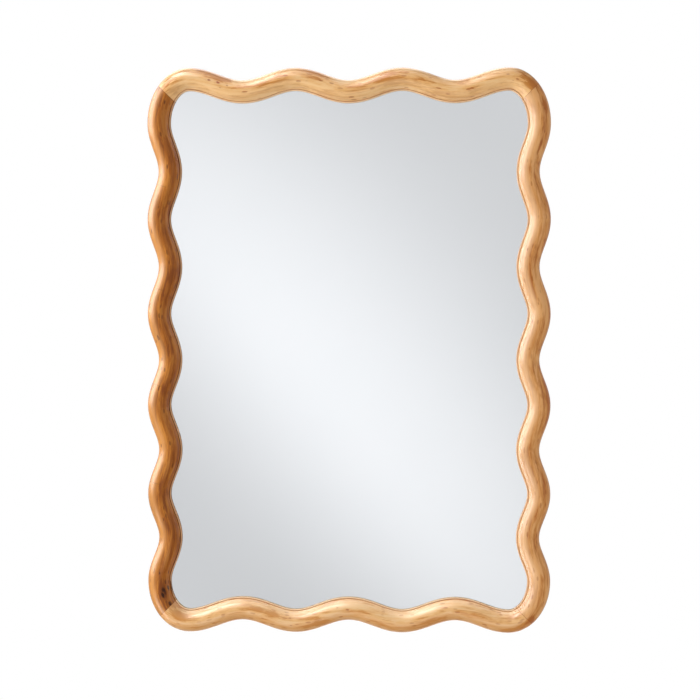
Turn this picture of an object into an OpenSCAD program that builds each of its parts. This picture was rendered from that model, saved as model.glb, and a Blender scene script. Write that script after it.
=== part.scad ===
// Portrait wall mirror in a wavy, round-nosed solid wood frame.
// X runs to the right, Z up, and the front faces -Y. The wall is the plane y = 0,
// and the origin lies on it, midway across and midway up the frame.

/* [Overall] */
// Height over the outer crests of the top and bottom rails
frame_h = 914; // [760:1:1100]
// Width over the outer crests of the two stiles
frame_w = 652; // [540:1:800]

/* [Waves] */
// Number of waves down each stile
side_waves = 5; // [4:1:6]
// Number of waves along each rail
end_waves = 3; // [2:1:4]
// Crest-to-trough height of the waves down the stiles
side_wave_h = 18; // [6:0.5:22]
// Crest-to-trough height of the waves along the rails
end_wave_h = 20; // [6:0.5:24]
// How far the middle waves of the stiles sit below an even spacing
wave_drift = 12; // [0:1:18]

/* [Corners] */
// Width of every corner's crown curve
corner_w = 51; // [44:1:60]
// Height of the crown curve at the top corners
corner_top_h = 73; // [60:1:84]
// Height of the crown curve at the bottom corners
corner_bottom_h = 67; // [60:1:84]

/* [Moulding] */
// Width of the half-round nose
nose_w = 33.5; // [30:0.5:38]
// Depth of the moulding from its back to its crown
frame_t = 30; // [28:0.5:36]
// Width of the groove between the nose and the sight lip
quirk_w = 1; // [0.6:0.1:1.6]
// Depth of that groove
quirk_d = 1.4; // [0.6:0.1:2]
// Width of the flat sight lip
lip_w = 3.2; // [2.4:0.1:5]
// Thickness of the lip in front of the glass
lip_t = 4; // [3:0.1:5]
// Softened corner of the lip
lip_arris = 0.6; // [0.2:0.1:1]
// Chamfer along the outer back edge
back_chamfer = 1; // [0.4:0.1:2]
// Width of glass that the lip and nose cover
glass_cover = 7; // [6:0.5:9]
// Width of the ledge that the back panel is screwed to
ledge_w = 8; // [7:0.5:10]

/* [Mirror] */
// Thickness of the glass
glass_t = 4; // [3:0.5:5]
// Thickness of the silvering and its backing paint
coat_t = 0.3; // [0.2:0.05:0.5]
// Room between the glass edge and the rebate, filled by the edge spacers
glass_gap = 2; // [1:0.25:3]
// Length of an edge spacer
spacer_l = 36; // [20:1:60]
// Thickness of the cushioning card behind the glass
card_t = 3.7; // [2:0.1:5]

/* [Back panel] */
// Thickness of the back panel
panel_t = 4; // [3:0.5:5]
// How far the panel lies inside the back of the frame
panel_inset = 1; // [0.5:0.1:2]
// Room between the panel edge and the frame
panel_gap = 0.75; // [0.4:0.05:1.2]
// Distance of the panel screws from the panel edge
panel_screw_in = 3.5; // [3.2:0.1:4]
// Number of panel screws along each stile
side_screw_count = 4; // [2:1:6]
// Number of panel screws along each rail
end_screw_count = 3; // [2:1:4]

/* [Corner dowels] */
// Diameter of a dowel
dowel_d = 6; // [4:0.5:7]
// Length of a dowel
dowel_l = 30; // [20:1:34]
// Distance between the two dowels of a corner
dowel_pitch = 12.5; // [10:0.5:14]
// Clearance round a dowel, and past each end of it
dowel_clear = 0.05; // [0.02:0.01:0.1]

/* [Screws] */
// Diameter of the panel screws
screw_d = 3; // [2.5:0.1:3.5]
// Length of the panel screws under the head
screw_l = 13; // [10:0.5:16]
// Diameter of their heads
screw_head_d = 5.5; // [5:0.1:6]
// Diameter of the hanger screws
hanger_screw_d = 3.5; // [3:0.1:4]
// Length of the hanger screws under the head
hanger_screw_l = 14; // [10:0.5:18]
// Diameter of their heads
hanger_head_d = 6.5; // [6:0.1:7]
// Clearance round a screw in its hole
screw_clear = 0.05; // [0.02:0.01:0.2]

/* [Hangers] */
// Stile wave crest that each hanger is screwed behind, counted from the top corner
hanger_crest = 1; // [1:1:2]
// Distance of a hanger from the crown line, outwards
hanger_out = 2; // [0:0.5:4]
// Width of the strap
strap_w = 12; // [10:0.5:12.5]
// Length of the strap below the ring's axis
strap_l = 40; // [38:0.5:46]
// Thickness of the strap
strap_t = 1; // [0.8:0.1:1.2]
// Distance of the first screw from the ring's axis
strap_screw_at = 21; // [20:0.5:23]
// Distance between the two screws of a strap
strap_screw_pitch = 12; // [10:0.5:14]
// Diameter of the ring's wire
wire_d = 2.5; // [2:0.1:3]
// Outer width of the ring
ring_w = 19.5; // [18:0.5:22]
// Length of the ring's straight legs
ring_leg = 2; // [1:0.25:3]
// Bend radius of the ring's upper corners, on the wire's centre line
ring_bend = 2; // [1.6:0.1:2.4]
// Clearance round the wire in the rolled end of the strap
knuckle_clear = 0.15; // [0.08:0.01:0.2]
// Gap between the hanging ring and the strap behind it
ring_gap = 0.3; // [0.2:0.05:0.5]

/* [Wall bumpers] */
// Distance of the frame's back from the wall, which the bumpers fill
wall_gap = 6; // [5.5:0.5:10]
// Diameter of a bumper
bumper_d = 12; // [8:0.5:14]
// Chamfer round a bumper's wall face
bumper_chamfer = 0.8; // [0.2:0.1:1.5]

/* [Hidden] */

wood = [0.80, 0.55, 0.33];
steps = 8;                      // facets along each half wave
nose_facets = 12;               // facets round the nose, half of them on each side of the crown
corner_facets = 8;              // facets round a quarter turn

// Heights in the moulding's section, measured forwards from the frame's back
ledge_h = panel_t + panel_inset;
glass_h = ledge_h + card_t + coat_t + glass_t;
lip_h = glass_h + lip_t;
nose_r = nose_w / 2;
spring_h = frame_t - nose_r;

// Distances across the section, measured from the crown line
nose_in = sqrt(nose_r * nose_r - pow(lip_h - spring_h, 2));
sight_in = nose_in + quirk_w + lip_w;
rebate_in = sight_in - glass_cover;
ledge_in = rebate_in - ledge_w;
glass_in = rebate_in + glass_gap;
panel_in = ledge_in + panel_gap;
back_mid = (nose_r - back_chamfer - ledge_in) / 2;

// The crown line: the highest line of the nose, which the whole section follows
lobe_x = frame_w / 2 - nose_r;
lobe_z = frame_h / 2 - nose_r;
turn_x = lobe_x - corner_w;
mitre = (frame_h - frame_w) / 2;
side_n = 2 * side_waves;
end_n = 2 * end_waves;

function corner_at(a, h) = [turn_x + corner_w * sin(a), lobe_z - h + h * cos(a)];

// Right stile from its top corner down: half waves 0 to side_n, and on round the corners
function side_at(v) =
    v < 0 ? corner_at(90 * (1 + v), corner_top_h)
    : v > side_n ? let (p = corner_at(90 * (1 + side_n - v), corner_bottom_h)) [p.x, -p.y]
    : let (t = v / side_n, top = lobe_z - corner_top_h, low = corner_bottom_h - lobe_z)
      [lobe_x - side_wave_h / 2 * (1 - cos(180 * v)),
       top + (low - top) * t - wave_drift * sin(180 * t)];

// A rail from left to right, as the top one lies: half waves 0 to end_n, and the corners
function end_at(v, h) =
    v < 0 ? let (p = corner_at(-90 * v, h)) [-p.x, p.y]
    : v > end_n ? corner_at(90 * (v - end_n), h)
    : [turn_x * (2 * v / end_n - 1), lobe_z - end_wave_h / 2 * (1 - cos(180 * v))];

// The point at a distance outwards from the crown line
function outward(a, b) = let (t = (b - a) / norm(b - a)) [-t.y, t.x];
function side_off(v, u) = side_at(v) + u * outward(side_at(v - 0.001), side_at(v + 0.001));
function end_off(v, h, u) =
    end_at(v, h) + u * outward(end_at(v - 0.001, h), end_at(v + 0.001, h));

// The corner angle at which the mitre crosses the crown line, and how far out that is
function mitre_angle(h) =
    let (m = mitre - (lobe_z - h) + turn_x, r = norm([h, corner_w]))
    acos(m / r) - atan2(corner_w, h);
function mitre_reach(h) = corner_at(mitre_angle(h), h).x * sqrt(2);

// Stations: where a section stands along each member, with some length past the mitre
past = 16;
function side_stations() = let (
        a = ceil((90 - mitre_angle(corner_top_h) + past) * corner_facets / 90),
        b = ceil((90 - mitre_angle(corner_bottom_h) + past) * corner_facets / 90))
    concat([for (i = [-a:1:-1]) i / corner_facets], [for (i = [0:side_n * steps]) i / steps],
           [for (i = [1:b]) side_n + i / corner_facets]);
function end_stations(h) = let (
        a = ceil((mitre_angle(h) + past) * corner_facets / 90))
    concat([for (i = [-a:1:-1]) i / corner_facets], [for (i = [0:end_n * steps]) i / steps],
           [for (i = [1:a]) end_n + i / corner_facets]);

// The moulding's section as [distance outwards, height], starting at the outer back corner
nose_end = 180 - asin((lip_h - spring_h) / nose_r);
section = concat(
    [[nose_r - back_chamfer, 0], [nose_r, back_chamfer]],
    [for (k = [0:nose_facets]) let (i = 2 * k / nose_facets - 1,
                                    a = 90 + (i < 0 ? 90 : nose_end - 90) * i)
        [nose_r * cos(a), spring_h + nose_r * sin(a)]],
    [[-nose_in - quirk_w / 4, lip_h - quirk_d], [-nose_in - quirk_w * 3 / 4, lip_h - quirk_d],
     [-nose_in - quirk_w, lip_h], [lip_arris - sight_in, lip_h],
     [-sight_in, lip_h - lip_arris], [-sight_in, glass_h], [-rebate_in, glass_h],
     [-rebate_in, ledge_h], [-ledge_in, ledge_h], [-ledge_in, 0]]);

// End faces of the sweep, split into convex pieces
q = nose_facets + 3;            // the first point of the groove
section_pieces = [
    [q + 1, q + 2, q + 3, q + 4, q + 5],
    [q + 5, q + 6, q, q + 1],
    concat([q + 6], [for (i = [2:q]) i]),
    [q + 8, q + 9, 0, 1, 2],
    [q + 6, q + 7, q + 8, 2]];

// Sweeps the section through a list of [foot, outward unit vector]
module sweep(line) {
    n = len(section);
    m = len(line);
    points = [for (s = line) for (p = section)
        [s[0].x + p.x * s[1].x, -wall_gap - p.y, s[0].y + p.x * s[1].y]];
    sides = [for (i = [0:m - 2]) for (j = [0:n - 1]) let (k = (j + 1) % n)
        each [[i * n + j, (i + 1) * n + k, (i + 1) * n + j],
              [i * n + j, i * n + k, (i + 1) * n + k]]];
    caps = [for (f = section_pieces) for (i = [1:len(f) - 2])
        each [[f[0], f[i + 1], f[i]],
              [(m - 1) * n + f[0], (m - 1) * n + f[i], (m - 1) * n + f[i + 1]]]];
    polyhedron(points = points, faces = concat(sides, caps), convexity = 12);
}

function side_line() = [for (v = side_stations())
    [side_at(v), outward(side_at(v - 0.001), side_at(v + 0.001))]];
function end_line(h) = [for (v = end_stations(h))
    [end_at(v, h), outward(end_at(v - 0.001, h), end_at(v + 0.001, h))]];

// Places something on the right top mitre: local X runs out along it, local Z is square to it
module on_mitre() { translate([0, -wall_gap, mitre]) rotate([0, -45, 0]) children(); }

// Half space beyond the mitre, on the stile's side or on the rail's
module beyond_mitre(h, side) {
    on_mitre() translate([mitre_reach(h) - 2 * nose_w, -2 * frame_t, side > 0 ? 0 : -3 * nose_w])
        cube([4 * nose_w, 3 * frame_t, 3 * nose_w]);
}

module corner_pins(h, r, l) {
    on_mitre() for (s = [-1, 1])
        translate([mitre_reach(h) + dowel_pitch * (s + 0.3) / 2,
                   -glass_h - dowel_d / 2 - 0.75, 0])
            cylinder(h = l, r = r, center = true, $fn = 48);
}

module corner_holes(h) {
    corner_pins(h, dowel_d / 2 + dowel_clear, dowel_l + 2 * dowel_clear);
}

// Screw places of the back panel, each as a point on the ledge
screw_in = panel_in + panel_screw_in;
side_screws = [for (k = [0.5:side_screw_count - 0.5])
    side_off(side_n * k / side_screw_count, -screw_in)];
function end_screws(h) = [for (k = [0.5:end_screw_count - 0.5])
    end_off(end_n * k / end_screw_count, h, -screw_in)];

module drill(p, r, from, to) {
    translate([p.x, -wall_gap - from, p.y]) rotate([90, 0, 0])
        cylinder(h = to - from, r = r, $fn = 36);
}

module panel_pilots(places) {
    for (p = places)
        drill(p, screw_d / 2 + screw_clear, ledge_h - 1, panel_inset + screw_l + 0.5);
}

// A hanger's place: the ring's axis crosses the strap's middle here
hanger_at = let (p = side_at(2 * hanger_crest)) [p.x + hanger_out, p.y + strap_l / 2];
hanger_screw_places = [for (i = [0:1])
    [hanger_at.x, hanger_at.y - strap_screw_at - i * strap_screw_pitch]];

module stile() {
    difference() {
        sweep(side_line());
        beyond_mitre(corner_top_h, 1);
        mirror([0, 0, 1]) beyond_mitre(corner_bottom_h, 1);
        corner_holes(corner_top_h);
        mirror([0, 0, 1]) corner_holes(corner_bottom_h);
        panel_pilots(side_screws);
        for (p = hanger_screw_places)
            drill(p, hanger_screw_d / 2 + screw_clear, -1, hanger_screw_l - strap_t + 0.5);
    }
}

module rail(h) {
    difference() {
        sweep(end_line(h));
        for (s = [0, 1]) mirror([s, 0, 0]) {
            beyond_mitre(h, -1);
            corner_holes(h);
        }
        panel_pilots(end_screws(h));
    }
}

module frame_top_rail() color(wood) rail(corner_top_h);
module frame_bottom_rail() color(wood) mirror([0, 0, 1]) rail(corner_bottom_h);
module frame_right_stile() color(wood) stile();
module frame_left_stile() color(wood) mirror([1, 0, 0]) stile();

module corner_dowels() color("burlywood") for (s = [0, 1]) mirror([s, 0, 0]) {
    corner_pins(corner_top_h, dowel_d / 2, dowel_l);
    mirror([0, 0, 1]) corner_pins(corner_bottom_h, dowel_d / 2, dowel_l);
}

// Closed outline at a distance inwards from the crown line
function half_outline(u) = concat(
    [for (i = [end_n * steps / 2 + 1:end_n * steps]) end_off(i / steps, corner_top_h, -u)],
    [for (i = [1 - corner_facets:-1]) side_off(i / corner_facets, -u)],
    [for (i = [0:side_n * steps]) side_off(i / steps, -u)],
    [for (i = [1:corner_facets - 1]) side_off(side_n + i / corner_facets, -u)],
    [for (i = [end_n * steps:-1:end_n * steps / 2])
        let (p = end_off(i / steps, corner_bottom_h, -u)) [p.x, -p.y]]);
function outline(u) = let (r = half_outline(u), n = len(r)) concat(
    [end_off(end_n / 2, corner_top_h, -u)], r,
    [for (i = [n - 2:-1:0]) [-r[i].x, r[i].y]]);

module sheet(u, from, t) {
    translate([0, -wall_gap - from, 0]) rotate([90, 0, 0])
        linear_extrude(height = t, convexity = 8) polygon(outline(u));
}

module mirror_glass() color("lightsteelblue", 0.5) sheet(glass_in, glass_h - glass_t, glass_t);
module mirror_silvering() color("silver")
    sheet(glass_in, glass_h - glass_t - coat_t, coat_t);
module backing_card() color("tan") sheet(glass_in, ledge_h, card_t);

// Soft pads that fill the room round the glass edge, two to each side of the frame. Their
// backs lie on the facets of the rebate, so an end between two stations is on the straight line
function along(v, l) = concat([v - l], [for (i = [floor((v - l) * steps) + 1:
    ceil((v + l) * steps) - 1]) i / steps], [v + l]);
function between(v, a, b) = let (t = v * steps - floor(v * steps)) a + t * (b - a);
function side_facet(v, u) = between(v, side_off(floor(v * steps) / steps, u),
    side_off((floor(v * steps) + 1) / steps, u));
function end_facet(v, h, u) = between(v, end_off(floor(v * steps) / steps, h, u),
    end_off((floor(v * steps) + 1) / steps, h, u));
side_half_wave = (2 * lobe_z - corner_top_h - corner_bottom_h) / side_n;
end_half_wave = 2 * turn_x / end_n;
module spacer(a, b) {
    translate([0, glass_t - wall_gap - glass_h, 0]) rotate([90, 0, 0])
        linear_extrude(height = glass_t)
            polygon(concat(a, [for (i = [len(b) - 1:-1:0]) b[i]]));
}
module edge_spacers() color("dimgray") for (s = [0, 1]) mirror([s, 0, 0]) {
    for (v = [3, side_n - 3]) let (n = along(v, spacer_l / 2 / side_half_wave))
        spacer([for (w = n) side_facet(w, -rebate_in)],
               [for (w = n) side_facet(w, -glass_in)]);
    for (m = [0, 1]) let (h = m == 0 ? corner_top_h : corner_bottom_h,
                          n = along(end_n - 1, spacer_l / 2 / end_half_wave))
        mirror([0, 0, m])
            spacer([for (w = n) end_facet(w, h, -rebate_in)],
                   [for (w = n) end_facet(w, h, -glass_in)]);
}

all_screw_places = concat(
    side_screws, [for (p = side_screws) [-p.x, p.y]], end_screws(corner_top_h),
    [for (p = end_screws(corner_bottom_h)) [p.x, -p.y]]);

module back_panel() color("sienna") difference() {
    sheet(panel_in, panel_inset, panel_t);
    for (p = all_screw_places)
        drill(p, screw_d / 2 + screw_clear, 0, ledge_h + 1);
}

// Pan-head screw standing on a seat, with its head towards local +Z and a cross recess
module screw(d, l, head_d) {
    head_h = head_d * 0.32;
    difference() {
        union() {
            rotate_extrude($fn = 48) polygon([
                [0, 0], [head_d / 2, 0], [head_d / 2, head_h * 0.4],
                [head_d * 0.36, head_h * 0.88], [head_d * 0.2, head_h], [0, head_h]]);
            translate([0, 0, -l]) rotate_extrude($fn = 36) polygon([
                [0, 0], [d / 2, d], [d / 2, l + head_h / 4], [0, l + head_h / 4]]);
        }
        for (a = [0, 90]) rotate([0, 0, a + 20])
            translate([-head_d * 0.27, -head_d * 0.06, head_h * 0.45])
                cube([head_d * 0.54, head_d * 0.12, head_h]);
    }
}

// Stands a screw on a seat that lies a height in front of the frame's back
module back_screw(p, seat, d, l, head_d) {
    translate([p.x, -wall_gap - seat, p.y]) rotate([-90, 0, 0]) screw(d, l, head_d);
}

module panel_screws() color("silver")
    for (p = all_screw_places) back_screw(p, panel_inset, screw_d, screw_l, screw_head_d);

module hanger_screws() color("silver")
    for (s = [-1, 1]) for (p = hanger_screw_places)
        back_screw([s * p.x, p.y], -strap_t, hanger_screw_d, hanger_screw_l, hanger_head_d);

// The ring's axis stands off the frame's back so that the wire clears the strap
wire_r = wire_d / 2;
axis_off = strap_t + ring_gap + wire_r;
knuckle_r = wire_r + knuckle_clear + strap_t;

// Places something at a hanger: local X along the ring's axis, local Y away from the wood
module at_hanger(s) {
    translate([s * hanger_at.x, -wall_gap, hanger_at.y]) children();
}

module hanger_strap() difference() {
    union() {
        translate([-strap_w / 2, 0, strap_w / 2 - strap_l])
            cube([strap_w, strap_t, strap_l - strap_w / 2]);
        translate([0, strap_t, strap_w / 2 - strap_l]) rotate([90, 0, 0])
            cylinder(h = strap_t, d = strap_w, $fn = 72);
        translate([-strap_w / 2, axis_off, 0]) rotate([0, 90, 0])
            cylinder(h = strap_w, r = knuckle_r, $fn = 72);
    }
    translate([-strap_w / 2 - 1, axis_off, 0]) rotate([0, 90, 0])
        cylinder(h = strap_w + 2, r = wire_r + knuckle_clear, $fn = 72);
    for (i = [0:1]) translate([0, strap_t + 1, -strap_screw_at - i * strap_screw_pitch])
        rotate([90, 0, 0]) cylinder(h = strap_t + 2, r = hanger_screw_d / 2 + screw_clear,
                                    $fn = 36);
}

module hanger_strap_left() color("gray") at_hanger(-1) hanger_strap();
module hanger_strap_right() color("gray") at_hanger(1) hanger_strap();

// Wire ring: a straight bar on the axis, two bends, two legs and a half circle below
ring_r = ring_w / 2 - wire_r;
module wire_turn(r, angle) {
    rotate_extrude(angle = angle, $fn = 96) translate([r, 0]) circle(r = wire_r, $fn = 48);
}
module d_ring() translate([0, axis_off, 0]) rotate([90, 0, 0]) {
    bar = ring_r - ring_bend;
    translate([-bar, 0, 0]) rotate([0, 90, 0]) cylinder(h = 2 * bar, r = wire_r, $fn = 48);
    for (s = [0, 1]) mirror([s, 0, 0]) {
        translate([bar, -ring_bend, 0]) wire_turn(ring_bend, 90);
        translate([ring_r, -ring_bend - ring_leg, 0]) rotate([-90, 0, 0])
            cylinder(h = ring_leg, r = wire_r, $fn = 48);
    }
    translate([0, -ring_bend - ring_leg, 0]) rotate([0, 0, 180]) wire_turn(ring_r, 180);
}

module d_ring_left() color("lightgray") at_hanger(-1) d_ring();
module d_ring_right() color("lightgray") at_hanger(1) d_ring();

// Self-adhesive bumpers behind the four corner crests
module bumper() rotate([-90, 0, 0]) rotate_extrude($fn = 60) polygon([
    [0, 0], [bumper_d / 2, 0], [bumper_d / 2, wall_gap - bumper_chamfer],
    [bumper_d / 2 - bumper_chamfer, wall_gap], [0, wall_gap]]);
module wall_bumpers() color("black") for (s = [0, 1]) mirror([s, 0, 0])
    for (m = [0, 1]) let (h = m == 0 ? corner_top_h : corner_bottom_h,
                          p = end_off(end_n, h, back_mid))
        mirror([0, 0, m]) translate([p.x, -wall_gap, p.y]) bumper();

frame_top_rail();
frame_bottom_rail();
frame_left_stile();
frame_right_stile();
corner_dowels();
mirror_glass();
mirror_silvering();
edge_spacers();
backing_card();
back_panel();
panel_screws();
hanger_strap_left();
hanger_strap_right();
hanger_screws();
d_ring_left();
d_ring_right();
wall_bumpers();
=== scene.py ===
from math import cos, degrees, hypot, pi, radians, sin

import bmesh
import bpy
from mathutils import Matrix, Vector


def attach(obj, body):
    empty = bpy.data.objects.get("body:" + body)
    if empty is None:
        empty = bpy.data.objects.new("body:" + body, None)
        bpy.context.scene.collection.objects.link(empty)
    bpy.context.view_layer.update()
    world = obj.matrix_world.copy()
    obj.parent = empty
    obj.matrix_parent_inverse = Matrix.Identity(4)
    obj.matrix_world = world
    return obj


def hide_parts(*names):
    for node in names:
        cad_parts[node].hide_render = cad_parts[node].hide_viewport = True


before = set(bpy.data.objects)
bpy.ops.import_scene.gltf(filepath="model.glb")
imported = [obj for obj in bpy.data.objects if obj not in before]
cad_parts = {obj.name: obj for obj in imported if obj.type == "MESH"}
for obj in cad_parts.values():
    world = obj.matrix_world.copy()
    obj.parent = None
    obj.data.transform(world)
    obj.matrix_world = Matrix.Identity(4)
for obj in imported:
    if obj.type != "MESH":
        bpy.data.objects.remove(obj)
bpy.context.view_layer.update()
scene = bpy.context.scene
scene.view_settings.view_transform = "Standard"
mm = 0.001                                      # metres

# CAMERA. The photograph looks at the mirror almost squarely with a long lens, from a little to
# the right of its middle and a little above. Its frame is square, 700 pixels on a side, and
# its scale is taken where the frame's round nose is widest.
photo_side = 700
photo_scale = 1.6183 * mm                       # metres to a pixel
camera_distance = 4.7
camera_azimuth = radians(2.0)
camera_elevation = radians(1.6)
widest_y = -19.25 * mm
middle_right, middle_up = 1.2, 0.6              # the picture's middle from the frame's, in pixels
aim = Vector((middle_right * photo_scale, widest_y, middle_up * photo_scale))
towards_camera = Vector((sin(camera_azimuth) * cos(camera_elevation),
                         -cos(camera_azimuth) * cos(camera_elevation), sin(camera_elevation)))
camera = bpy.data.objects.new("camera", bpy.data.cameras.new("camera"))
scene.collection.objects.link(camera)
camera.location = aim + towards_camera * camera_distance
camera.rotation_mode = "QUATERNION"
camera.rotation_quaternion = (-towards_camera).to_track_quat("-Z", "Y")
camera.data.sensor_width = film_width = 36
camera.data.lens = film_width * camera_distance / (photo_scale * photo_side)
camera.data.clip_end = 100
scene.camera = camera

# FRAME MEMBERS. Two stiles and two rails of knotty honey-coloured timber, band-sawn to waves,
# moulded with one cutter to a round nose with a groove and a flat lip, mitred at the corners
# and lacquered. Each is swept here along its wavy crown line and cut off at its two mitres.
frame_height, frame_width = 914, 652            # millimetres, as are the sizes below
stile_half_waves, rail_half_waves = 10, 6
stile_wave, rail_wave, wave_drift = 18, 20, 12
corner_width, corner_top, corner_bottom = 51, 73, 67
nose_radius = 16.75
wall_gap = 6                                    # the bumpers hold the frame's back off the wall
frame_thickness = 30
glass_face, lip_face = 13, 17                   # heights in front of the frame's back
groove_width, groove_depth, groove_round = 0.8, 0.45, 0.25
lip_arris, lip_round, back_arris = 1.2, 0.2, 1
glass_cover, ledge_width, ledge_height = 7, 8, 5
crown_x = frame_width / 2 - nose_radius
crown_z = frame_height / 2 - nose_radius
turn_x = crown_x - corner_width
# How far the 45 degree cut stands above the diagonal through the middle, at each corner.
mitre_offset = {("top", "left"): 120.5, ("top", "right"): 124.5, ("bottom", "left"): 125.0,
                ("bottom", "right"): 144.5}


def corner_arc(turn, drop):
    """A point of a corner's elliptical arc, by its angle round from straight up."""
    return (turn_x + corner_width * sin(turn), crown_z - drop + drop * cos(turn))


def stile_crown(v):
    """The right stile's crown line, v half waves down from its top corner."""
    if v < 0:
        return corner_arc(pi / 2 * (1 + v), corner_top)
    if v > stile_half_waves:
        x, z = corner_arc(pi / 2 * (1 + stile_half_waves - v), corner_bottom)
        return (x, -z)
    share = v / stile_half_waves
    top, low = crown_z - corner_top, corner_bottom - crown_z
    return (crown_x - stile_wave / 2 * (1 - cos(pi * v)),
            top + (low - top) * share - wave_drift * sin(pi * share))


def rail_crown(v, drop):
    """A rail's crown line as the top one lies, v half waves from its left corner."""
    if v < 0:
        x, z = corner_arc(-pi / 2 * v, drop)
        return (-x, z)
    if v > rail_half_waves:
        return corner_arc(pi / 2 * (v - rail_half_waves), drop)
    return (turn_x * (2 * v / rail_half_waves - 1), crown_z - rail_wave / 2 * (1 - cos(pi * v)))


nose_centre = frame_thickness - nose_radius
sight = 20.52                                   # the mirror's visible edge, from the crown line
# The nose is round as far as the flank angle, and then slopes straight down to the groove.
flank = radians(145)
nose_inner = (-nose_radius * cos(flank)
              - (nose_centre + nose_radius * sin(flank) - lip_face) * sin(flank) / cos(flank))
rebate = sight - glass_cover
ledge = rebate - ledge_width


def arc(centre_u, centre_d, radius, start, end, pieces):
    """Points of a small round in the moulding's section, angles in degrees."""
    steps = [radians(start + (end - start) * i / pieces) for i in range(pieces + 1)]
    return [(centre_u + radius * cos(a), centre_d + radius * sin(a)) for a in steps]


def moulding_section():
    """[distance outwards from the crown line, height in front of the frame's back]"""
    groove_floor = lip_face - groove_depth
    return (arc(nose_radius - back_arris, back_arris, back_arris, -90, 0, 4)
            + arc(0, nose_centre, nose_radius, 0, 90, 28)
            + arc(0, nose_centre, nose_radius, 90, degrees(flank), 16)[1:]
            + arc(-nose_inner - groove_width / 2, groove_floor + groove_round, groove_round,
                  0, -180, 4)
            + arc(-nose_inner - groove_width - lip_round, lip_face - lip_round, lip_round,
                  0, 90, 4)
            + arc(-sight + lip_arris, lip_face - lip_arris, lip_arris, 90, 180, 6)
            + [(-sight, glass_face), (-rebate, glass_face), (-rebate, ledge_height),
               (-ledge, ledge_height), (-ledge, 0)])


def station(crown, v):
    """The section's place at v: local X outwards, local Z forwards, local Y along the member."""
    nearby = 0.001
    x, z = crown(v)
    (ax, az), (bx, bz) = crown(v - nearby), crown(v + nearby)
    length = hypot(bx - ax, bz - az)
    out_x, out_z = -(bz - az) / length, (bx - ax) / length
    return Matrix(((out_x * mm, -out_z, 0, x * mm), (0, 0, -mm, -wall_gap * mm),
                   (out_z * mm, out_x, 0, z * mm), (0, 0, 0, 1)))


weld = 1e-7                                     # points nearer than this, in metres, are one
sharp_edge = radians(28)


def cut_mitre(bm, point_z, normal):
    """Saws the member off at a 45 degree plane through the frame's corner."""
    bmesh.ops.bisect_plane(bm, geom=bm.verts[:] + bm.edges[:] + bm.faces[:], dist=weld,
                           plane_co=(0, 0, point_z * mm), plane_no=normal, clear_outer=True)


def moulding(name, crown, first, last, steps, mitres, straightening, flip=(1, 1)):
    """Sweeps the section from half wave first to last, and cuts both ends at their mitres.
    The attribute grain keeps each point's place in the board: along from half wave 0, across
    and height. The board was sawn less wavy than the member: straightening is the axis that
    its waves run in and how much of them it lacks, and sawn keeps that at each point."""
    wave_axis, wave_share = straightening
    bm = bmesh.new()
    grain = bm.verts.layers.float_vector.new("grain")
    sawn = bm.verts.layers.float.new("sawn")
    section = moulding_section()
    count = round((last - first) * steps)
    places = [station(crown, first + i / steps) for i in range(count + 1)]
    ring = [bm.verts.new(places[0] @ Vector((u, 0, d))) for u, d in section]
    edges = [bm.edges.new((ring[i - 1], ring[i])) for i in range(len(ring))]
    lengths = [(b.translation - a.translation).length for a, b in zip(places, places[1:])]
    along = -sum(lengths[:round(-first * steps)])
    samples = 16
    middle = sum(crown(2 * i / samples)[wave_axis] for i in range(samples)) / samples
    for i, place in enumerate(places):
        if i:
            made = bmesh.ops.extrude_edge_only(bm, edges=edges)["geom"]
            ring = [g for g in made if isinstance(g, bmesh.types.BMVert)]
            edges = [g for g in made if isinstance(g, bmesh.types.BMEdge)
                     and all(v in ring for v in g.verts)]
            bmesh.ops.transform(bm, matrix=place @ places[i - 1].inverted(), verts=ring)
            along += lengths[i - 1]
        off_line = (crown(first + i / steps)[wave_axis] - middle) * mm
        back = place.inverted()
        for vert in ring:
            local = back @ vert.co
            vert[grain] = (along, local.x * mm, local.z * mm)
            vert[sawn] = off_line * wave_share
    for point_z, normal in mitres:
        cut_mitre(bm, point_z, normal)
    open_edges = [e for e in bm.edges if len(e.link_faces) == 1]
    bmesh.ops.holes_fill(bm, edges=open_edges, sides=0)
    bmesh.ops.scale(bm, vec=(flip[0], 1, flip[1]), verts=bm.verts)
    bmesh.ops.remove_doubles(bm, verts=bm.verts, dist=weld)
    bmesh.ops.recalc_face_normals(bm, faces=bm.faces)
    for face in bm.faces:
        face.smooth = True
    for edge in bm.edges:
        if len(edge.link_faces) == 2 and edge.calc_face_angle() > sharp_edge:
            edge.smooth = False
    mesh = bpy.data.meshes.new(name)
    bm.to_mesh(mesh)
    bm.free()
    made = bpy.data.objects.new(name, mesh)
    scene.collection.objects.link(made)
    return made


past_corner = 0.95                              # how far a sweep runs on round its corner
half_wave_steps = 40
stile_board, rail_board = (0, 0.35), (1, 0.35)
members = {}
for side, flip in (("left", -1), ("right", 1)):
    members[f"{side}_stile"] = moulding(
        f"{side}_stile", stile_crown, -past_corner, stile_half_waves + past_corner,
        half_wave_steps, ((mitre_offset["top", side], (-1, 0, 1)),
                          (-mitre_offset["bottom", side], (-1, 0, -1))), stile_board, (flip, 1))
for end, flip, drop in (("top", 1, corner_top), ("bottom", -1, corner_bottom)):
    members[f"{end}_rail"] = moulding(
        f"{end}_rail", lambda v, drop=drop: rail_crown(v, drop), -past_corner,
        rail_half_waves + past_corner, half_wave_steps,
        ((mitre_offset[end, "right"], (1, 0, -1)), (mitre_offset[end, "left"], (-1, 0, -1))),
        rail_board, (1, flip))


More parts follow.
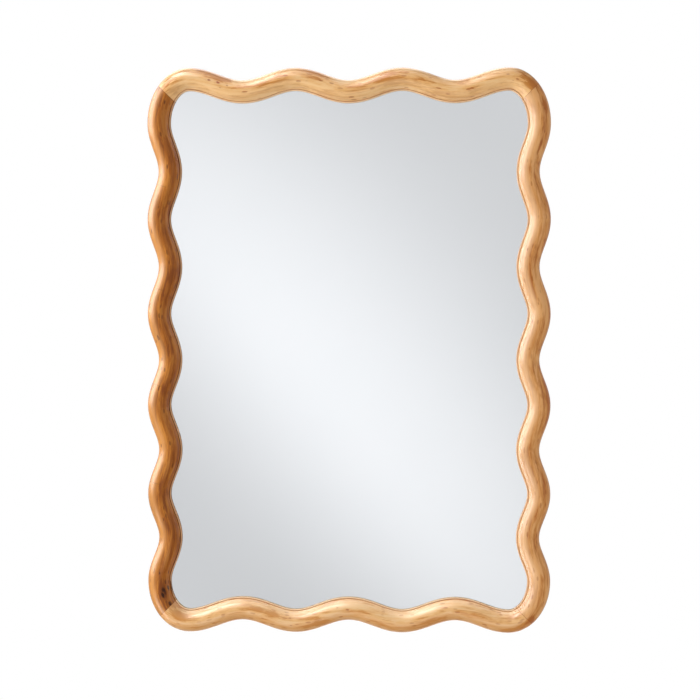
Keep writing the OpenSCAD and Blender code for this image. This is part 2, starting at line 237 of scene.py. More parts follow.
def add_node(tree, kind, inputs=None, **settings):
    """Adds a node, changes its settings, and sets or links its inputs by name or number."""
    made = tree.nodes.new(kind)
    for key, value in settings.items():
        setattr(made, key, value)
    for key, value in (inputs or {}).items():
        if isinstance(value, bpy.types.NodeSocket):
            tree.links.new(value, made.inputs[key])
        else:
            made.inputs[key].default_value = value
    return made


def maths(tree, operation, *values):
    """A Math node's result."""
    return add_node(tree, "ShaderNodeMath", dict(enumerate(values)),
                    operation=operation).outputs[0]


def object_place(tree):
    """Each point's own place on the object."""
    return add_node(tree, "ShaderNodeTexCoord").outputs["Object"]


def stretched(tree, vector, scale, shift=(0, 0, 0)):
    """Coordinates times a scale, and shifted."""
    return add_node(tree, "ShaderNodeVectorMath", {0: vector, 1: scale, 2: shift},
                    operation="MULTIPLY_ADD").outputs[0]


def noise(tree, vector, scale, detail=3.0, roughness=0.55, distortion=0.0):
    return add_node(tree, "ShaderNodeTexNoise",
                    {"Vector": vector, "Scale": scale, "Detail": detail,
                     "Roughness": roughness, "Distortion": distortion}).outputs[0]


def smooth_range(tree, value, low, high, to_low=0.0, to_high=1.0):
    """A smooth step from to_low, where value is low, to to_high."""
    return add_node(tree, "ShaderNodeMapRange",
                    {0: value, 1: low, 2: high, 3: to_low, 4: to_high},
                    interpolation_type="SMOOTHSTEP").outputs[0]


def blended(tree, share, a, b):
    """Colour a, going over to b by share."""
    return add_node(tree, "ShaderNodeMix", {0: share, 6: a, 7: b}, data_type="RGBA").outputs[2]


def new_group(name, inputs, outputs):
    """An empty node group with named sockets: the tree, its inputs and its outputs."""
    tree = bpy.data.node_groups.new(name, "ShaderNodeTree")
    for label, kind in inputs:
        tree.interface.new_socket(label, in_out="INPUT", socket_type="NodeSocket" + kind)
    for label, kind in outputs:
        tree.interface.new_socket(label, in_out="OUTPUT", socket_type="NodeSocket" + kind)
    return (tree, tree.nodes.new("NodeGroupInput").outputs,
            tree.nodes.new("NodeGroupOutput").inputs)


def use_group(tree, group, inputs):
    return add_node(tree, "ShaderNodeGroup", inputs, node_tree=group).outputs


# Knots: the grain flows round each, and its heart is dark.
knot, given, result = new_group(
    "knot", [("Grain", "Vector"), ("Mask", "Float"), ("Along", "Float"), ("Across", "Float"),
             ("Size", "Float"), ("Strength", "Float")],
    [("Grain", "Vector"), ("Mask", "Float")])
parts = add_node(knot, "ShaderNodeSeparateXYZ", {0: given["Grain"]}).outputs
away_along = maths(knot, "SUBTRACT", parts[0], given["Along"])
away_across = maths(knot, "SUBTRACT", parts[1], given["Across"])
ragged = maths(knot, "MULTIPLY_ADD", noise(knot, given["Grain"], 420.0), 1.1, -0.55)
reach = maths(knot, "SQRT", maths(
    knot, "ADD", maths(knot, "POWER", maths(knot, "MULTIPLY", away_along, 0.5), 2.0),
    maths(knot, "POWER", away_across, 2.0)))
reach = maths(knot, "ADD", maths(knot, "DIVIDE", reach, given["Size"]), ragged)
swell = smooth_range(knot, reach, 0.4, 4.2, 0.55, 0.0)
bent = add_node(knot, "ShaderNodeCombineXYZ", {
    0: parts[0], 1: maths(knot, "SUBTRACT", parts[1], maths(
        knot, "MULTIPLY", maths(knot, "MULTIPLY", away_across, swell), given["Strength"])),
    2: parts[2]}).outputs[0]
heart = maths(knot, "MULTIPLY", smooth_range(knot, reach, 0.35, 1.15, 1.0, 0.0),
              given["Strength"])
halo = maths(knot, "MULTIPLY", smooth_range(knot, reach, 0.6, 3.4, 0.28, 0.0),
             given["Strength"])
knot.links.new(bent, result["Grain"])
knot.links.new(maths(knot, "MAXIMUM", given["Mask"], maths(knot, "MAXIMUM", heart, halo)),
               result["Mask"])

# A soft darker cloud, longer along the grain than across it. Most are the timber's own darker
# patches; the first cloud of the top rail is partly painted shade.
cloud, given, result = new_group(
    "cloud", [("Grain", "Vector"), ("Mask", "Float"), ("Along", "Float"), ("Across", "Float"),
              ("Length", "Float"), ("Width", "Float"), ("Strength", "Float")],
    [("Mask", "Float")])
parts = add_node(cloud, "ShaderNodeSeparateXYZ", {0: given["Grain"]}).outputs
wisps = maths(cloud, "MULTIPLY_ADD", noise(
    cloud, stretched(cloud, given["Grain"], (1, 3, 3)), 45.0, 4.0, 0.6, 0.5), 1.5, -0.75)
reach = maths(cloud, "SQRT", maths(cloud, "ADD", maths(cloud, "POWER", maths(
    cloud, "DIVIDE", maths(cloud, "SUBTRACT", parts[0], given["Along"]), given["Length"]), 2.0),
    maths(cloud, "POWER", maths(cloud, "DIVIDE", maths(
        cloud, "SUBTRACT", parts[1], given["Across"]), given["Width"]), 2.0)))
inside = maths(cloud, "MULTIPLY", smooth_range(
    cloud, maths(cloud, "ADD", reach, wisps), 0.25, 1.25, 1.0, 0.0), given["Strength"])
cloud.links.new(maths(cloud, "ADD", given["Mask"], inside), result["Mask"])

# Timber: patches, long streaks, threads and growth rings of colour, with flecks, on the
# board's own coordinates, and the masks of the clouds and knots laid over them.
timber, given, result = new_group(
    "timber", [("Grain", "Vector"), ("Sawn", "Float"), ("Knots", "Float"), ("Clouds", "Float"),
               ("Board", "Vector"), ("Pale", "Color"), ("Honey", "Color"), ("Brown", "Color"),
               ("Heart", "Color"), ("Lip Highlight", "Color"), ("Outer", "Color"),
               ("Outer Shading Share", "Float"), ("Inner", "Color"), ("Inner Shading Share", "Float"),
               ("Groove Shade", "Float"), ("Flecks", "Float")],
    [("Color", "Color"), ("Roughness", "Float"), ("Coat", "Float"), ("Height", "Float")])
sawn_shift = add_node(timber, "ShaderNodeCombineXYZ", {1: given["Sawn"]}).outputs[0]
board = add_node(timber, "ShaderNodeVectorMath", {
    0: add_node(timber, "ShaderNodeVectorMath", {0: given["Grain"], 1: sawn_shift},
                operation="ADD").outputs[0],
    1: given["Board"]}, operation="ADD").outputs[0]
patches = noise(timber, stretched(timber, board, (1, 3.6, 3.6)), 17.0, 3.0, 0.55, 0.6)
streaks = noise(timber, stretched(timber, board, (1, 11, 11)), 24.0, 4.0, 0.62, 0.6)
threads = noise(timber, stretched(timber, board, (1, 20, 20)), 44.0, 3.0, 0.65)
parts = add_node(timber, "ShaderNodeSeparateXYZ", {0: board}).outputs
growth_ring, ring_drift, pith_depth = 3.4 * mm, 22 * mm, 30 * mm
wander = maths(timber, "MULTIPLY_ADD", noise(timber, stretched(timber, board, (1, 3, 3)), 7.0,
                                            2.0, 0.5), ring_drift, -ring_drift / 2)
radius = maths(timber, "SQRT", maths(
    timber, "ADD", maths(timber, "POWER", maths(timber, "ADD", parts[1], wander), 2.0),
    maths(timber, "POWER", maths(timber, "ADD", parts[2], pith_depth), 2.0)))
ring = maths(timber, "PINGPONG", maths(timber, "DIVIDE", radius, growth_ring), 1.0)
ring = smooth_range(timber, ring, 0.35, 1.0)
tone = maths(timber, "ADD", maths(timber, "MULTIPLY", patches, 0.56),
             maths(timber, "MULTIPLY", streaks, 0.44))
tone = maths(timber, "ADD", tone, maths(timber, "MULTIPLY_ADD", ring, -0.04, 0.016))
tone = maths(timber, "ADD", tone, maths(timber, "MULTIPLY_ADD", threads, 0.26, -0.13))
# More contrast, and darker where a cloud lies.
tone = maths(timber, "SUBTRACT", maths(timber, "MULTIPLY_ADD", tone, 1.3, -0.15),
             maths(timber, "MULTIPLY", given["Clouds"], 0.2))
colour = blended(timber, smooth_range(timber, tone, 0.37, 0.49), given["Brown"],
                 given["Honey"])
colour = blended(timber, smooth_range(timber, tone, 0.50, 0.61), colour, given["Pale"])
# Painted light and shade: each board's outer and inner side is blended to a tone of its own,
# paler on a side that faces the light and darker on one turned away from it.
own = add_node(timber, "ShaderNodeSeparateXYZ", {0: given["Grain"]}).outputs
colour = blended(timber, maths(timber, "MULTIPLY", smooth_range(
    timber, own[1], -4 * mm, 10 * mm), given["Outer Shading Share"]), colour, given["Outer"])
colour = blended(timber, maths(timber, "MULTIPLY", smooth_range(
    timber, own[1], 1 * mm, -6 * mm), given["Inner Shading Share"]), colour, given["Inner"])
colour = blended(timber, smooth_range(timber, given["Clouds"], 0.9, 2.0, 0.0, 0.45), colour,
                 given["Heart"])
# Flecks: some cells of a pattern stretched along the grain hold a small warm brown mark.
fleck_cells = add_node(timber, "ShaderNodeTexVoronoi", {
    "Vector": stretched(timber, board, (1, 3, 3)), "Scale": 56.0, "Randomness": 1.0})
cell_mark = add_node(timber, "ShaderNodeSeparateColor", {0: fleck_cells.outputs["Color"]})
fleck_edge = maths(timber, "ADD", fleck_cells.outputs["Distance"],
                   maths(timber, "MULTIPLY_ADD", threads, 0.24, -0.12))
fleck = maths(timber, "MULTIPLY", smooth_range(timber, fleck_edge, 0.19, 0.30, 1.0, 0.0),
              maths(timber, "GREATER_THAN", cell_mark.outputs[0], 0.62))
fleck = maths(timber, "MULTIPLY", maths(timber, "MULTIPLY", fleck, given["Flecks"]),
              smooth_range(timber, streaks, 0.38, 0.6, 1.0, 0.5))
colour = blended(timber, fleck, colour, blended(timber, 0.35, given["Heart"], given["Brown"]))
# Painted highlight: the lip is blended to a paler, whiter tone than the round nose, where it
# catches the light. Painted shade darkens the groove between them.
lip = smooth_range(timber, own[1], -(nose_inner + groove_width) * mm,
                   -(nose_inner + groove_width + 0.3) * mm)
colour = blended(timber, maths(timber, "MULTIPLY", lip, 0.8), colour, given["Lip Highlight"])
# Painted shade: the groove is darkened towards the heart tone by each board's share.
groove = maths(timber, "MULTIPLY",
               smooth_range(timber, own[1], -(nose_inner - 0.2) * mm, -(nose_inner + 0.1) * mm),
               smooth_range(timber, own[1], -(nose_inner + groove_width + 0.2) * mm,
                            -(nose_inner + groove_width) * mm))
colour = blended(timber, maths(timber, "MULTIPLY", groove, given["Groove Shade"]), colour, given["Heart"])
knotty = smooth_range(timber, given["Knots"], 0.0, 1.0)
colour = blended(timber, maths(timber, "MULTIPLY", knotty, 0.93), colour, given["Heart"])
timber.links.new(colour, result["Color"])
# The lacquer is rubbed thin on the lip.
timber.links.new(maths(timber, "ADD", maths(timber, "MULTIPLY_ADD", streaks, 0.16, 0.24),
                       maths(timber, "MULTIPLY", lip, 0.25)), result["Roughness"])
timber.links.new(maths(timber, "MULTIPLY_ADD", lip, -0.34, 0.4), result["Coat"])
timber.links.new(maths(timber, "ADD", maths(timber, "MULTIPLY", threads, 0.6),
                       maths(timber, "MULTIPLY", ring, -0.25)), result["Height"])

# The glue line of a mitre: a hair of darker lacquer along the 45 degree cut.
glue_line, given, result = new_group(
    "glue_line", [("Place", "Vector"), ("Left Top", "Float"), ("Right Top", "Float"),
                  ("Left Bottom", "Float"), ("Right Bottom", "Float")], [("Mask", "Float")])
parts = add_node(glue_line, "ShaderNodeSeparateXYZ", {0: given["Place"]}).outputs
is_right = maths(glue_line, "GREATER_THAN", parts[0], 0.0)
is_top = maths(glue_line, "GREATER_THAN", parts[2], 0.0)
corner = [maths(glue_line, "ADD", maths(glue_line, "MULTIPLY", given["Right " + end], is_right),
                maths(glue_line, "MULTIPLY", given["Left " + end],
                      maths(glue_line, "SUBTRACT", 1.0, is_right))) for end in ("Top", "Bottom")]
corner = maths(glue_line, "ADD", maths(glue_line, "MULTIPLY", corner[0], is_top),
               maths(glue_line, "MULTIPLY", corner[1], maths(glue_line, "SUBTRACT", 1.0, is_top)))
off_mitre = maths(glue_line, "SUBTRACT", maths(
    glue_line, "SUBTRACT", maths(glue_line, "ABSOLUTE", parts[2]),
    maths(glue_line, "ABSOLUTE", parts[0])), corner)
glue_line.links.new(smooth_range(glue_line, maths(glue_line, "ABSOLUTE", off_mitre),
                                 0.35 * mm, 1.0 * mm, 1.0, 0.0), result["Mask"])


def srgb(red, green, blue):
    """A colour written as 0 to 255, in the scene's linear light."""
    return (*(c / 3294.6 if c <= 10 else ((c / 255 + 0.055) / 1.055) ** 2.4
              for c in (red, green, blue)), 1.0)


def new_material(name):
    """A material with a Principled shader: the material, its tree and the shader."""
    made = bpy.data.materials.new(name)
    made.use_nodes = True
    return made, made.node_tree, made.node_tree.nodes["Principled BSDF"]


def shader_values(shader, values):
    for key, value in values.items():
        shader.inputs[key].default_value = value


def bumped(tree, shader, height, distance, strength=1.0):
    bump = add_node(tree, "ShaderNodeBump", {"Strength": strength, "Distance": distance,
                                             "Height": height})
    tree.links.new(bump.outputs[0], shader.inputs["Normal"])


boards = {
    # pale, honey, brown and heart tones, the outer and the inner side's tone and share of painted
    # light and shade, the share of painted shade in the groove, flecks, the board's shift in the
    # figure, and in millimetres its knots as (along, across, size, strength), clouds as (along,
    # across, length, width, strength) and finger joints by their place along the member
    "left_stile": (
        srgb(214, 136, 46), srgb(182, 102, 22), srgb(132, 62, 8), srgb(44, 18, 5),
        (srgb(212, 146, 70), 0.72), (srgb(160, 88, 16), 0.45), 0.8, 0.8, (0.3, 0.02, 0.0),
        [(791.5, -5.0, 2.6, 1.0), (782.9, -6.9, 2.4, 0.85), (780.6, -13.8, 2.8, 0.75),
         (753.6, -1.9, 1.5, 0.6), (811.4, -9.5, 2.6, 0.8), (140.2, -0.1, 1.4, 0.5)],
        [(785.0, -8.0, 26.0, 9.0, 1.0), (815.0, -9.0, 10.0, 5.0, 0.9)],
        (106, 279, 440, 604)),
    "right_stile": (
        srgb(234, 172, 106), srgb(217, 148, 78), srgb(186, 108, 44), srgb(160, 80, 22),
        (srgb(217, 150, 85), 0.0), (srgb(234, 186, 134), 0.65), 0.0, 0.6, (1.7, -0.03, 0.01),
        [(-20.7, 8.5, 1.3, 0.6), (12.9, 7.6, 1.3, 0.6), (213.0, -8.2, 1.4, 0.6),
         (300.5, -1.3, 1.2, 0.5), (376.8, -2.5, 1.2, 0.5), (373.9, 13.5, 1.4, 0.5)],
        [(-25.0, 9.0, 16.0, 6.0, 0.7), (829.0, 10.0, 10.0, 7.0, 1.1)], ()),
    "top_rail": (
        srgb(250, 202, 141), srgb(242, 184, 113), srgb(208, 134, 56), srgb(168, 68, 0),
        (srgb(246, 195, 132), 0.0), (srgb(250, 205, 144), 0.45), 0.7, 0.85,
        (3.1, 0.04, -0.01),
        [(33.2, 2.6, 1.6, 0.85), (48.2, 3.7, 1.6, 0.95), (63.8, 3.7, 1.1, 0.6),
         (54.0, -2.8, 1.1, 0.6), (547.6, -1.0, 1.6, 0.6), (531.6, 4.5, 1.4, 0.5)],
        # first cloud: partly a darker zone of the wood, partly painted shade on the brightly lit
        # top left corner
        [(-26.0, -4.0, 24.0, 10.0, 0.6), (-38.0, 7.0, 26.0, 7.0, 0.8),
         (45.0, 11.0, 34.0, 6.0, 0.8),
         (572.0, 8.0, 22.0, 9.0, 1.6), (140.0, -8.0, 34.0, 6.0, 0.5),
         (335.0, 6.0, 34.0, 7.0, 0.7), (430.0, -8.0, 30.0, 6.0, 0.5)], ()),
    "bottom_rail": (
        srgb(250, 206, 150), srgb(243, 190, 124), srgb(212, 140, 64), srgb(172, 72, 0),
        (srgb(226, 152, 78), 0.5), (srgb(250, 206, 154), 0.2), 0.7, 0.65,
        (5.3, -0.02, 0.02),
        [(264.6, -1.5, 1.6, 0.7), (250.1, -6.6, 1.1, 0.55), (171.2, 4.7, 1.2, 0.5),
         (168.3, -7.0, 1.2, 0.5)],
        [(-22.0, -7.0, 22.0, 8.0, 1.2), (120.0, -5.0, 34.0, 6.0, 0.9),
         (210.0, 9.0, 30.0, 6.0, 0.6), (565.0, 10.0, 13.0, 8.0, 1.4),
         (545.0, 10.0, 24.0, 7.0, 1.0), (400.0, 2.0, 40.0, 7.0, 0.5)], ()),
}
knot_spread = 1.2
for name, (pale, honey, brown, heart, outer, inner, groove_shade, flecks, shift, knots, clouds,
           fingers) in boards.items():
    material, tree, shader = new_material(f"lacquered_timber_{name}")
    on_board = add_node(tree, "ShaderNodeAttribute", attribute_name="grain").outputs["Vector"]
    sawn = add_node(tree, "ShaderNodeAttribute", attribute_name="sawn").outputs["Fac"]
    place = object_place(tree)
    grain, mask, shade = on_board, 0.0, 0.0
    for along, across, size, strength in knots:
        grain, mask = use_group(tree, knot, {
            "Grain": grain, "Mask": mask, "Along": along * mm, "Across": across * mm,
            "Size": knot_spread * size * mm, "Strength": strength})
    for along, across, length, width, strength in clouds:
        shade = use_group(tree, cloud, {
            "Grain": on_board, "Mask": shade, "Along": along * mm, "Across": across * mm,
            "Length": length * mm, "Width": width * mm, "Strength": strength})["Mask"]
    figure = use_group(tree, timber, {
        "Grain": grain, "Sawn": sawn, "Knots": mask, "Clouds": shade, "Board": shift,
        "Pale": pale, "Honey": honey, "Brown": brown, "Heart": heart,
        # the lip's painted highlight: the pale tone taken partly towards white
        "Lip Highlight": tuple(0.72 * c + 0.28 * w for c, w in zip(pale, srgb(255, 240, 220))),
        "Outer": outer[0], "Outer Shading Share": outer[1], "Inner": inner[0], "Inner Shading Share": inner[1],
        "Groove Shade": groove_shade, "Flecks": flecks})
    # Glue shows as a hairline at the mitres, and across the outer half at a finger joint.
    lines = use_group(tree, glue_line, {"Place": place, **{
        f"{side.title()} {end.title()}": offset * mm
        for (end, side), offset in mitre_offset.items()}})["Mask"]
    parts = add_node(tree, "ShaderNodeSeparateXYZ", {0: on_board}).outputs
    for at in fingers:
        off_joint = maths(tree, "ABSOLUTE", maths(tree, "SUBTRACT", parts[0], at * mm))
        joint = maths(tree, "MULTIPLY", smooth_range(tree, off_joint, 0.3 * mm, 0.9 * mm, 0.5, 0.0),
                      smooth_range(tree, parts[1], -4 * mm, 3 * mm))
        lines = maths(tree, "MAXIMUM", lines, joint)
    tree.links.new(blended(tree, maths(tree, "MULTIPLY", lines, 0.55), figure["Color"],
                           heart), shader.inputs["Base Color"])
    tree.links.new(figure["Roughness"], shader.inputs["Roughness"])
    tree.links.new(figure["Coat"], shader.inputs["Coat Weight"])
    bumped(tree, shader, figure["Height"], 0.05 * mm, 0.15)
    shader_values(shader, {"Coat Roughness": 0.27})
    piece = members[name]
    piece.data.materials.append(material)
    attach(piece, "mirror")
    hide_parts("frame_" + name)


def dress(node, material):
    """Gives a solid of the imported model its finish, in place of the plain one it came with."""
    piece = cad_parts[node]
    piece.data.materials.clear()
    piece.data.materials.append(material)


def mottled(name, dark, light, depth, strength, *pattern, stretch=(1, 1, 1)):
    """A finish of two tones that a fine noise mixes and raises, with the noise's own settings:
    the material, its tree, the shader and the noise."""
    material, tree, shader = new_material(name)
    mottle = noise(tree, stretched(tree, object_place(tree), stretch), *pattern)
    tree.links.new(blended(tree, mottle, srgb(*dark), srgb(*light)),
                   shader.inputs["Base Color"])
    bumped(tree, shader, mottle, depth * mm, strength)
    return material, tree, shader, mottle


# CORNER DOWELS. Round beech pins, two to a corner, glued across the mitres. They are hidden
# once the frame is closed.
material, tree, shader, mottle = mottled(
    "beech_dowel", (196, 150, 104), (222, 184, 138), 0.1, 0.4, 900.0, 3.0)
shader_values(shader, {"Roughness": 0.7})
dress("corner_dowels", material)

# MIRROR. A 4 mm pane of clear float glass, cut to the frame's waves and held in its rebate.
# Its whole back is silvered.
material, tree, shader = new_material("float_glass")
shader_values(shader, {"Base Color": (0.975, 0.995, 0.985, 1), "Roughness": 0.0, "IOR": 1.52,
                       "Transmission Weight": 1.0})
dress("mirror_glass", material)

material, tree, shader = new_material("silvering")
haze = noise(tree, object_place(tree), 6.0, 2.0)
tree.links.new(smooth_range(tree, haze, 0.2, 0.8, 0.008, 0.03), shader.inputs["Roughness"])
tree.links.new(blended(tree, haze, (0.955, 0.965, 0.972, 1), (0.935, 0.95, 0.96, 1)),
               shader.inputs["Base Color"])
shader_values(shader, {"Metallic": 1.0})
# The coat is bonded to the pane, so its face is let 0.05 mm into the glass.
coat_bond = 0.05 * mm
coat = bpy.data.objects.new("silver_coat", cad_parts["mirror_silvering"].data.copy())
bm = bmesh.new()
bm.from_mesh(coat.data)
bmesh.ops.remove_doubles(bm, verts=bm.verts, dist=1e-6)
coat_front = min(vert.co.y for vert in bm.verts)
bmesh.ops.translate(bm, vec=(0, -coat_bond, 0),
                    verts=[vert for vert in bm.verts if vert.co.y < coat_front + coat_bond])
bm.to_mesh(coat.data)
bm.free()
coat.data.materials.clear()
coat.data.materials.append(material)
scene.collection.objects.link(coat)
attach(coat, "mirror")
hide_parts("mirror_silvering")

# EDGE SPACERS. Soft black foam rubber pads, two to each side, pressed in round the pane's edge
# so that it sits centred in its rebate.
material, tree, shader, mottle = mottled(
    "foam_rubber", (34, 34, 35), (62, 62, 63), 0.2, 0.6, 1400.0, 2.0)
shader_values(shader, {"Roughness": 0.85})
dress("edge_spacers", material)

# BACKING CARD. Grey board cut to the frame's waves. It fills the room between the silvering
# and the back panel, so that the pane can't rattle.
material, tree, shader, mottle = mottled(
    "grey_board", (150, 140, 124), (186, 175, 156), 0.08, 0.4, 350.0, 4.0, 0.65, 0.8,
    stretch=(1, 1, 2.2))
shader_values(shader, {"Roughness": 0.9})
dress("backing_card", material)

# BACK PANEL. Brown hardboard with its smooth face outwards, cut to the waves of the ledge that
# it is screwed down on.
material, tree, shader = new_material("hardboard")
place = object_place(tree)
clouds = noise(tree, place, 5.0, 3.0, 0.55)
fibres = noise(tree, stretched(tree, place, (1, 1, 1.6)), 240.0, 4.0, 0.7, 1.2)
specks = add_node(tree, "ShaderNodeTexVoronoi", {"Vector": place, "Scale": 260.0}).outputs[0]
tone = maths(tree, "ADD", maths(tree, "MULTIPLY", clouds, 0.45),
             maths(tree, "MULTIPLY", fibres, 0.55))
colour = blended(tree, smooth_range(tree, tone, 0.3, 0.7), srgb(104, 70, 44),
                 srgb(146, 104, 68))
colour = blended(tree, smooth_range(tree, specks, 0.02, 0.16, 0.55, 0.0), colour,
                 srgb(74, 48, 30))
tree.links.new(colour, shader.inputs["Base Color"])
tree.links.new(smooth_range(tree, fibres, 0.3, 0.7, 0.5, 0.68), shader.inputs["Roughness"])
bumped(tree, shader, fibres, 0.06 * mm, 0.5)
dress("back_panel", material)

# Zinc plating: bright and dull spangles, and fine scratches.
zinc, given, result = new_group(
    "zinc_plating", [("Place", "Vector"), ("Bright", "Color"), ("Dull", "Color")],
    [("Color", "Color"), ("Roughness", "Float"), ("Height", "Float")])
spangle = noise(zinc, given["Place"], 260.0, 3.0, 0.6)
scratch = noise(zinc, stretched(zinc, given["Place"], (9, 1, 1)), 420.0, 3.0, 0.6)
zinc.links.new(blended(zinc, smooth_range(zinc, spangle, 0.3, 0.7), given["Bright"],
                       given["Dull"]), result["Color"])
zinc.links.new(smooth_range(zinc, spangle, 0.25, 0.75, 0.24, 0.42), result["Roughness"])
zinc.links.new(scratch, result["Height"])


def plated(name, bright, dull, nodes):
    """A plated steel finish on some of the fittings."""
    material, tree, shader = new_material(name)
    look = use_group(tree, zinc, {"Place": object_place(tree), "Bright": bright,
                                  "Dull": dull})
    tree.links.new(look["Color"], shader.inputs["Base Color"])
    tree.links.new(look["Roughness"], shader.inputs["Roughness"])
    shader_values(shader, {"Metallic": 1.0})
    bumped(tree, shader, look["Height"], 0.02 * mm, 0.5)
    for node in nodes:
        dress(node, material)


# SCREWS, STRAPS AND D-RINGS. Zinc-plated steel: a strap screwed to each stile with two pan-head
# screws, a wire ring that swings in the strap's rolled end, and the back panel's fourteen
# screws.
plated("zinc_screw", (0.78, 0.77, 0.74, 1), (0.62, 0.61, 0.58, 1),
       ("panel_screws", "hanger_screws"))
plated("zinc_strap", (0.80, 0.80, 0.79, 1), (0.66, 0.66, 0.65, 1),
       ("hanger_strap_left", "hanger_strap_right"))
plated("zinc_wire", (0.84, 0.84, 0.83, 1), (0.70, 0.70, 0.69, 1),
       ("d_ring_left", "d_ring_right"))

# WALL BUMPERS. Soft dark grey rubber buttons, glued behind the four corners, that hold the
# frame off the wall.
material, tree, shader, skin = mottled(
    "bumper_rubber", (40, 40, 42), (58, 58, 60), 0.05, 0.4, 700.0, 3.0)
tree.links.new(smooth_range(tree, skin, 0.3, 0.7, 0.45, 0.65), shader.inputs["Roughness"])
dress("wall_bumpers", material)

# STAGE. A pale floor that turns white at its rim, a white surround, and studio walls that only
# polished things see. The mirror shows the walls' soft diagonal sweep of light.
floor_z, floor_half = -1.25, 4.0
floor_grey, floor_glow = 0.82, 0.5
bm = bmesh.new()
bmesh.ops.create_grid(bm, x_segments=1, y_segments=1, size=floor_half)
bmesh.ops.translate(bm, vec=(0, 0, floor_z), verts=bm.verts)
floor = bpy.data.objects.new("floor", bpy.data.meshes.new("floor"))
bm.to_mesh(floor.data)
bm.free()
scene.collection.objects.link(floor)
floor.visible_diffuse = floor.visible_glossy = floor.visible_shadow = False
floor.visible_transmission = False
material, tree, shader = new_material("pale_floor")
shader_values(shader, {"Roughness": 0.9, "Specular IOR Level": 0.0,
                       "Emission Color": (1, 1, 1, 1)})
off_middle = add_node(tree, "ShaderNodeVectorMath", {
    0: object_place(tree), 1: (0, 0, floor_z)}, operation="DISTANCE").outputs["Value"]
rim = smooth_range(tree, off_middle, 0.35 * floor_half, 0.9 * floor_half)
tree.links.new(blended(tree, rim, (floor_grey, floor_grey, floor_grey, 1), (0, 0, 0, 1)),
               shader.inputs["Base Color"])
tree.links.new(maths(tree, "MULTIPLY_ADD", rim, 1.0 - floor_glow, floor_glow),
               shader.inputs["Emission Strength"])
floor.data.materials.append(material)

world = bpy.data.worlds.new("studio")
scene.world = world
world.use_nodes = True
tree = world.node_tree
background = tree.nodes["Background"]
rays = add_node(tree, "ShaderNodeLightPath").outputs
seen = maths(tree, "MAXIMUM", rays["Is Camera Ray"],
             maths(tree, "MAXIMUM", rays["Is Glossy Ray"], rays["Is Transmission Ray"]))
ambient = 0.42
tree.links.new(maths(tree, "MULTIPLY_ADD", seen, 1.0 - ambient, ambient),
               background.inputs["Strength"])
background.inputs["Color"].default_value = (1, 1, 1, 1)

# The walls, 12 m off. A point of the mirror reflects the same part of them to the camera, so
# their pattern is written in metres across the mirror as the photograph shows it.
wall_distance = 12.0
bm = bmesh.new()
bmesh.ops.create_icosphere(bm, subdivisions=5, radius=wall_distance)
for face in bm.faces:
    face.smooth = True
walls = bpy.data.objects.new("studio_walls", bpy.data.meshes.new("studio_walls"))
bm.to_mesh(walls.data)
bm.free()
scene.collection.objects.link(walls)
walls.visible_camera = walls.visible_diffuse = walls.visible_shadow = False
material = bpy.data.materials.new("studio_walls")
material.use_nodes = True
tree = material.node_tree
tree.nodes.clear()
spread = wall_distance / camera_distance
eye = camera.location
on_mirror = stretched(
    tree, object_place(tree), (1 / (1 + spread), 1, 1 / (1 + spread)),
    (eye.x * spread / (1 + spread), 0, eye.z * spread / (1 + spread)))
parts = add_node(tree, "ShaderNodeSeparateXYZ", {0: on_mirror}).outputs
# The sweep is a soft band across a dimmer ground. It runs at sweep_angle from upright, and it
# fades less quickly above than below.
sweep_angle, sweep_shift, sweep_every = 0.727, -0.0594, 2.6
fade_below, fade_above = 0.2205, 0.3386
ground_glow, sweep_glow, least_glow = 0.4785, 0.466, 0.5
glow_by_x, glow_by_z, glow_by_both = -0.05, 0.0196, 1.034
mirror_edge = 0.45                              # metres from the middle
across_sweep = maths(tree, "ADD", maths(tree, "MULTIPLY", parts[0], cos(sweep_angle)),
                     maths(tree, "MULTIPLY_ADD", parts[2], sin(sweep_angle), -sweep_shift))
across_sweep = maths(tree, "WRAP", across_sweep, sweep_every / 2, -sweep_every / 2)
upper = maths(tree, "GREATER_THAN", across_sweep, 0.0)
softness = maths(tree, "MULTIPLY_ADD", upper, fade_above - fade_below, fade_below)
sweep = maths(tree, "EXPONENT", maths(tree, "MULTIPLY", maths(
    tree, "POWER", maths(tree, "DIVIDE", across_sweep, softness), 2.0), -1.0))
near_x, near_z = (maths(tree, "MINIMUM", maths(tree, "MAXIMUM", parts[axis], -mirror_edge),
                        mirror_edge) for axis in (0, 2))
glow = maths(tree, "MULTIPLY_ADD", sweep, sweep_glow, ground_glow)
for slope, amount in ((near_x, glow_by_x), (near_z, glow_by_z),
                      (maths(tree, "MULTIPLY", near_x, near_z), glow_by_both)):
    glow = maths(tree, "ADD", glow, maths(tree, "MULTIPLY", slope, amount))
glow = maths(tree, "MAXIMUM", glow, least_glow)
# Far to the left, above and below, the walls are brighter: the mirror throws that light on the
# frame's inner slopes, and hardly shows it itself.
towards = add_node(tree, "ShaderNodeSeparateXYZ", {0: stretched(
    tree, object_place(tree), (1 / wall_distance,) * 3)}).outputs
up_left = maths(tree, "MULTIPLY_ADD", towards[2], 0.5, maths(
    tree, "MULTIPLY", towards[0], -0.87))
far = 0.0
for way, low, high, amount in (
        (up_left, 0.2, 0.55, 1.6), (up_left, 0.55, 0.95, 2.4),
        (towards[2], 0.2, 0.55, 0.7), (towards[2], 0.5, 0.95, 1.4),
        (maths(tree, "MULTIPLY", towards[0], -1.0), 0.4, 0.9, 1.4)):
    far = maths(tree, "ADD", far, smooth_range(tree, way, low, high, 0.0, amount))
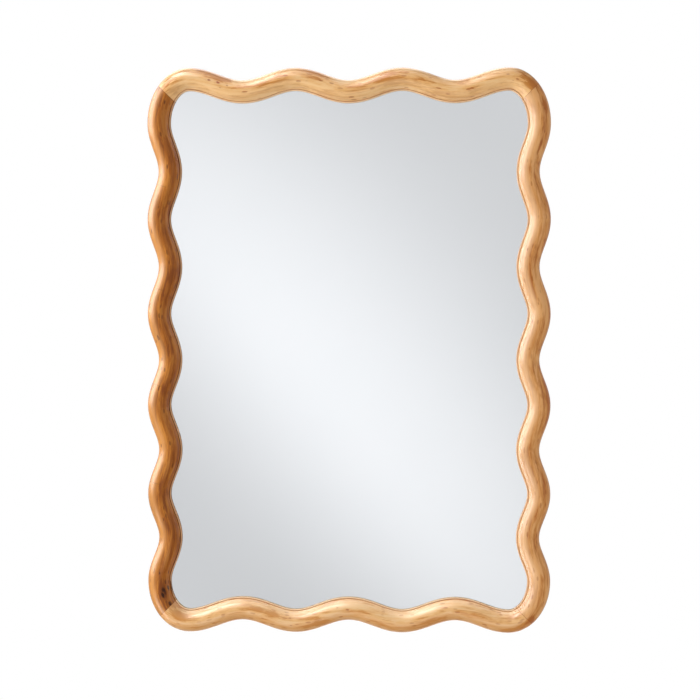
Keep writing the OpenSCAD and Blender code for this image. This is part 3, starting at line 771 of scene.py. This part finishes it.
# How much of it reaches the bare wood, the lacquer and the eye by way of the mirror.
to_wood, to_lacquer, to_eye = 0.78, 1.3, 0.03
rays = add_node(tree, "ShaderNodeLightPath").outputs
polished = maths(tree, "LESS_THAN", rays["Diffuse Depth"], 0.5)
thrown = maths(tree, "MAXIMUM", maths(tree, "MULTIPLY_ADD", polished, -to_wood, to_wood),
               maths(tree, "MULTIPLY", polished, maths(
                   tree, "MULTIPLY_ADD", maths(tree, "GREATER_THAN", rays["Glossy Depth"], 1.5),
                   to_lacquer - to_eye, to_eye)))
glow = maths(tree, "MULTIPLY_ADD", far, thrown, glow)
from_below = smooth_range(tree, maths(tree, "MULTIPLY", towards[2], -1.0), 0.25, 0.6, 0.0, 2.6)
glow = maths(tree, "MULTIPLY_ADD", from_below, maths(tree, "SUBTRACT", 1.0, polished), glow)
# Lacquer and metal see the walls dimly, and a little better those behind the mirror.
sheen_front, sheen_behind = 0.06, 0.36
behind = maths(tree, "GREATER_THAN", parts[1], 0.0)
sheen = maths(tree, "MULTIPLY_ADD", behind, sheen_behind - sheen_front, sheen_front)
strength = maths(tree, "ADD", maths(tree, "MULTIPLY", rays["Is Transmission Ray"], glow),
                 maths(tree, "MULTIPLY", rays["Is Glossy Ray"], sheen))
emission = add_node(tree, "ShaderNodeEmission", {"Color": (1.024, 1.013, 1.043, 1),
                                                 "Strength": strength})
output = add_node(tree, "ShaderNodeOutputMaterial")
tree.links.new(emission.outputs[0], output.inputs["Surface"])
walls.data.materials.append(material)

# Lamps. The key stands at the mirror's left and wraps round behind it, and the overhead ones
# only put a sheen on the lacquer.
lamps = (
    # name, azimuth, elevation, distance, width, height, watts, lights the surface, gives sheen
    ("left_key", -75, 18, 3.0, 1.6, 2.4, 33, True, True),
    ("left_wash", -64, 12, 3.0, 1.4, 2.4, 42, True, False),
    ("left_sheen", -82, 17, 3.0, 2.4, 2.0, 62, False, True),
    ("left_rim", -108, 22, 3.0, 1.6, 2.4, 30, True, True),
    ("right_fill", 50, 10, 3.0, 1.2, 1.8, 13, True, False),
    ("right_rim", 108, 10, 3.0, 1.2, 2.4, 6, True, False),
    ("low_front", 0, -32, 3.0, 2.0, 1.2, 9, True, True),
    ("low_fill", 0, -60, 3.0, 1.6, 1.2, 9, True, False),
    ("high_left", -52, 56, 3.0, 1.4, 1.2, 60, False, True),
    ("high_front", -24, 45, 3.0, 1.6, 1.2, 32, False, True),
    ("left_front", -48, 15, 3.0, 1.4, 1.8, 6, False, True),
    ("overhead", 0, 78, 2.6, 2.0, 1.0, 19, False, True),
    ("high_left_back", -130, 40, 3.0, 2.2, 2.0, 14, False, True),
    ("high_back", -165, 52, 3.0, 2.4, 2.0, 41, False, True),
    ("low_back", 180, -32, 3.0, 2.0, 1.2, 14, False, True),
    ("low_left", -60, -35, 3.0, 1.6, 1.2, 28, False, True),
)
for name, azimuth, elevation, distance, width, height, watts, lights, sheen in lamps:
    lamp = bpy.data.objects.new(name, bpy.data.lights.new(name, "AREA"))
    lamp.data.shape = "RECTANGLE"
    lamp.data.size, lamp.data.size_y, lamp.data.energy = width, height, watts
    lamp.visible_diffuse, lamp.visible_glossy = lights, sheen
    lamp.visible_camera = lamp.visible_transmission = False
    a, e = radians(azimuth), radians(elevation)
    outwards = Vector((sin(a) * cos(e), -cos(a) * cos(e), sin(e)))
    lamp.location = outwards * distance
    lamp.rotation_mode = "QUATERNION"
    lamp.rotation_quaternion = outwards.to_track_quat("Z", "Y")
    scene.collection.objects.link(lamp)
scene.cycles.use_denoising = True
